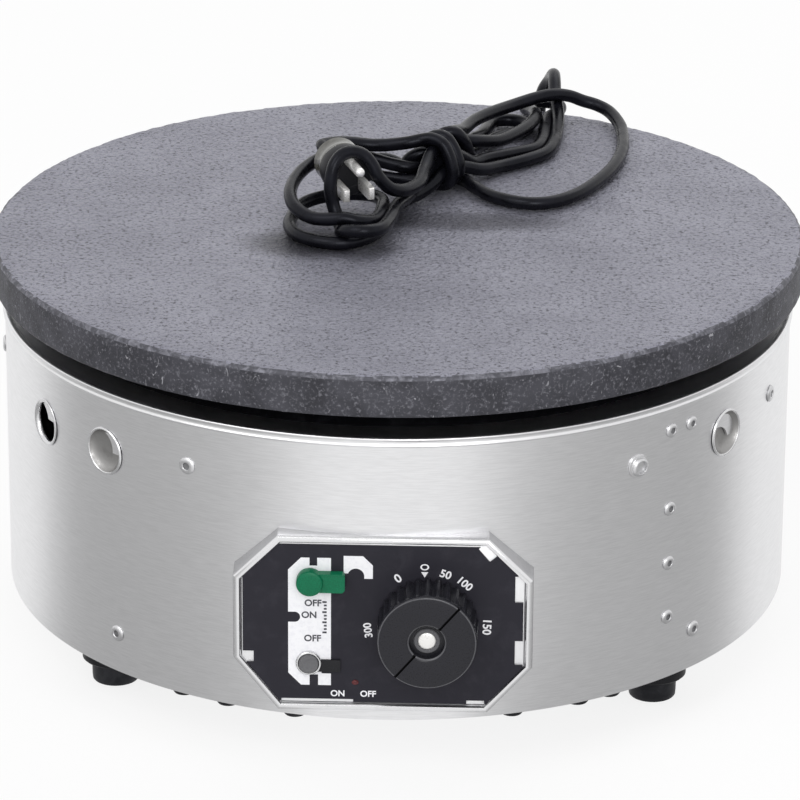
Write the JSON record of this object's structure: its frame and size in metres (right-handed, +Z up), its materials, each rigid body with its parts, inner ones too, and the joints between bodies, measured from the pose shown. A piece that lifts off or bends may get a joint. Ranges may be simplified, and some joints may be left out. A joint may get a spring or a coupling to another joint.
{
  "type": "electric crepe maker",
  "caption": "Round electric crepe maker: cast-iron griddle plate on a steel drum with a thermostat panel, feet and a tied mains cord.",
  "frame": {"origin": "on the surface the feet stand on, under the axis of the drum and plate", "axes": "+Z up, -Y towards the user at the control panel, +X to the user's right"},
  "size_m": [0.3999, 0.444, 0.2387],
  "materials": {
    "cast_iron": "rough, seasoned",
    "stainless": "brushed",
    "bright_steel": "polished",
    "dark_steel": "black enamel",
    "zinc_steel": "zinc plated",
    "element_steel": "oxidised sheath",
    "fibre": "ceramic fibre felt",
    "rubber": "matt",
    "black_film": "satin black",
    "black_plastic": "satin",
    "green_plastic": "satin",
    "grey_plastic": "satin",
    "cream_plastic": "moulded",
    "red_lens": "dull",
    "copper": "drawn copper",
    "brass": "turned",
    "wire_pvc": "wire insulation",
    "plug_metal": "nickel plated"
  },
  "bodies": {
    "cooker": {"griddle_plate": "cast_iron", "heating_element": "element_steel", "element_clamp": "zinc_steel", "clamp_bolt": "zinc_steel", "insulation_pad": "fibre", "heat_shield": "dark_steel", "support_ring": "stainless", "support_posts": "zinc_steel", "post_nuts": "zinc_steel", "drum_shell": "stainless", "rim_bead": "bright_steel", "seam_strip": "stainless", "seam_rivets": "bright_steel", "ring_rivets": "bright_steel", "base_rivets": "bright_steel", "bonding_screw": "bright_steel", "blanking_plugs": "bright_steel", "port_grommet": "bright_steel", "base_plate": "stainless", "base_ring": "zinc_steel", "base_screws": "black_plastic", "foot_plates": "black_plastic", "rubber_feet": "rubber", "foot_bolts": "zinc_steel", "panel_bezel": "bright_steel", "panel_backing": "bright_steel", "faceplate": "black_film", "thermostat_body": "cream_plastic", "thermostat_nut": "brass", "sensor_bulb": "copper", "switch_body": "cream_plastic", "button_ring": "bright_steel", "button_tag": "black_plastic", "cutout_body": "cream_plastic", "heating_lamp": "red_lens", "terminal_block": "cream_plastic", "terminal_screws": "brass", "wiring": "wire_pvc", "cable_outlet": "black_plastic", "outlet_nut": "black_plastic", "bend_relief": "rubber", "cord_lead": "rubber", "cord_hank": "rubber", "cord_coil": "rubber", "cord_tie": "rubber", "cord_tail": "rubber", "plug_body": "black_plastic", "plug_pins": "plug_metal"},
    "knob": {"thermostat_knob": "black_plastic", "knob_cap": "bright_steel", "thermostat_shaft": "zinc_steel"},
    "lever": {"power_lever": "green_plastic"},
    "button": {"push_button": "grey_plastic"}
  },
  "joints": [
    {"name": "thermostat_turn", "type": "hinge", "parent": "cooker", "child": "knob", "pos_m": [0.0212, -0.1968, 0.0752], "axis": [0, 1, 0], "range_deg": [-73, 220]},
    {"name": "power_turn", "type": "hinge", "parent": "cooker", "child": "lever", "pos_m": [-0.034, -0.1968, 0.0966], "axis": [0, -1, 0], "range_deg": [0, 90]},
    {"name": "button_press", "type": "slide", "parent": "cooker", "child": "button", "axis": [0, 1, 0], "range_m": [0, 0.002], "stiffness_N_per_m": 400}
  ]
}
